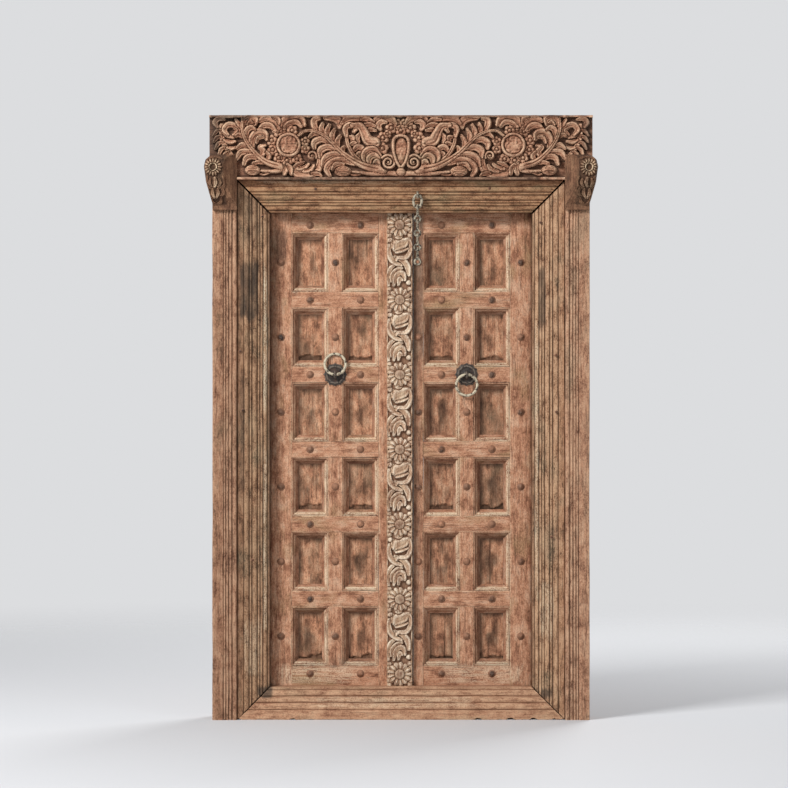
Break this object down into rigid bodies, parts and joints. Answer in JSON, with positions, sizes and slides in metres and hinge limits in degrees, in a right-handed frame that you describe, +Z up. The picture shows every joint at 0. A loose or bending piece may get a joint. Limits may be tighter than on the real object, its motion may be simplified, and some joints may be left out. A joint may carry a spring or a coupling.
{
  "type": "carved double door with frame",
  "caption": "Carved wooden double door in a moulded frame, with carved lintel, corbels, cover strip, ring pulls and a door chain.",
  "frame": {"origin": "middle of the bounding box at floor level, under the sill", "axes": "+Z up, -Y the carved front, +X to the right seen from the front"},
  "size_m": [1.3626, 0.211, 2.115],
  "materials": {
    "weathered_frame_wood": "matte",
    "carved_lintel_wood": "matte",
    "leaf_lattice_wood": "matte",
    "leaf_board_wood": "matte",
    "limed_strip_wood": "matte",
    "wrought_iron": "matte"
  },
  "bodies": {
    "frame": {"sill": "weathered_frame_wood", "door_head": "weathered_frame_wood", "left_jamb": "weathered_frame_wood", "right_jamb": "weathered_frame_wood", "left_pilaster": "weathered_frame_wood", "right_pilaster": "weathered_frame_wood", "left_corbel": "weathered_frame_wood", "right_corbel": "weathered_frame_wood", "lintel": "carved_lintel_wood", "chain_staple": "wrought_iron"},
    "left_leaf": {"left_hanging_stile": "leaf_lattice_wood", "left_meeting_stile": "leaf_lattice_wood", "left_rail_1": "leaf_lattice_wood", "left_rail_2": "leaf_lattice_wood", "left_rail_3": "leaf_lattice_wood", "left_rail_4": "leaf_lattice_wood", "left_bar_1": "leaf_lattice_wood", "left_bar_2": "leaf_lattice_wood", "left_bar_3": "leaf_lattice_wood", "left_muntin_1": "leaf_lattice_wood", "left_muntin_2": "leaf_lattice_wood", "left_muntin_3": "leaf_lattice_wood", "left_inner_board_1": "leaf_board_wood", "left_inner_board_2": "leaf_board_wood", "left_inner_board_3": "leaf_board_wood", "left_outer_board_1": "leaf_board_wood", "left_outer_board_2": "leaf_board_wood", "left_outer_board_3": "leaf_board_wood", "left_studs": "wrought_iron", "cover_strip": "limed_strip_wood", "left_ring_plate": "wrought_iron", "left_ring_eye": "wrought_iron"},
    "right_leaf": {"right_hanging_stile": "leaf_lattice_wood", "right_meeting_stile": "leaf_lattice_wood", "right_rail_1": "leaf_lattice_wood", "right_rail_2": "leaf_lattice_wood", "right_rail_3": "leaf_lattice_wood", "right_rail_4": "leaf_lattice_wood", "right_bar_1": "leaf_lattice_wood", "right_bar_2": "leaf_lattice_wood", "right_bar_3": "leaf_lattice_wood", "right_muntin_1": "leaf_lattice_wood", "right_muntin_2": "leaf_lattice_wood", "right_muntin_3": "leaf_lattice_wood", "right_inner_board_1": "leaf_board_wood", "right_inner_board_2": "leaf_board_wood", "right_inner_board_3": "leaf_board_wood", "right_outer_board_1": "leaf_board_wood", "right_outer_board_2": "leaf_board_wood", "right_outer_board_3": "leaf_board_wood", "right_studs": "wrought_iron", "right_ring_plate": "wrought_iron", "right_ring_eye": "wrought_iron"},
    "left_ring": {"left_ring": "wrought_iron"},
    "right_ring": {"right_ring": "wrought_iron"},
    "chain_ring": {"chain_ring": "wrought_iron"},
    "chain_link_1": {"chain_link_1": "wrought_iron"},
    "chain_link_2": {"chain_link_2": "wrought_iron"},
    "chain_link_3": {"chain_link_3": "wrought_iron"},
    "chain_link_4": {"chain_link_4": "wrought_iron"}
  },
  "joints": [
    {"name": "left_leaf_swing", "type": "hinge", "parent": "frame", "child": "left_leaf", "pos_m": [-0.45, 0.083, 0.9455], "axis": [0, 0, 1], "range_deg": [0, 95]},
    {"name": "right_leaf_swing", "type": "hinge", "parent": "frame", "child": "right_leaf", "pos_m": [0.45, 0.083, 0.9455], "axis": [0, 0, -1], "range_deg": [0, 95]},
    {"name": "left_ring_swing", "type": "hinge", "parent": "left_leaf", "child": "left_ring", "pos_m": [-0.232, 0.0436, 1.2095], "axis": [1, 0, 0], "range_deg": [0, 195]},
    {"name": "right_ring_swing", "type": "hinge", "parent": "right_leaf", "child": "right_ring", "pos_m": [0.232, 0.0436, 1.2095], "axis": [-1, 0, 0], "range_deg": [-6, 188]},
    {"name": "chain_ring_swing", "type": "hinge", "parent": "frame", "child": "chain_ring", "pos_m": [0.058, -0.02794, 1.83802], "axis": [-1, 0, 0], "range_deg": [-3, 35]},
    {"name": "chain_link_1_swing", "type": "hinge", "parent": "chain_ring", "child": "chain_link_1", "pos_m": [0.058, -0.02794, 1.79402], "axis": [-1, 0, 0], "range_deg": [-3, 35]},
    {"name": "chain_link_2_swing", "type": "hinge", "parent": "chain_link_1", "child": "chain_link_2", "pos_m": [0.058, -0.02794, 1.74402], "axis": [-1, 0, 0], "range_deg": [-3, 35]},
    {"name": "chain_link_3_swing", "type": "hinge", "parent": "chain_link_2", "child": "chain_link_3", "pos_m": [0.058, -0.02794, 1.69402], "axis": [-1, 0, 0], "range_deg": [-3, 35]},
    {"name": "chain_link_4_swing", "type": "hinge", "parent": "chain_link_3", "child": "chain_link_4", "pos_m": [0.058, -0.02794, 1.64402], "axis": [-1, 0, 0], "range_deg": [-3, 35]}
  ]
}
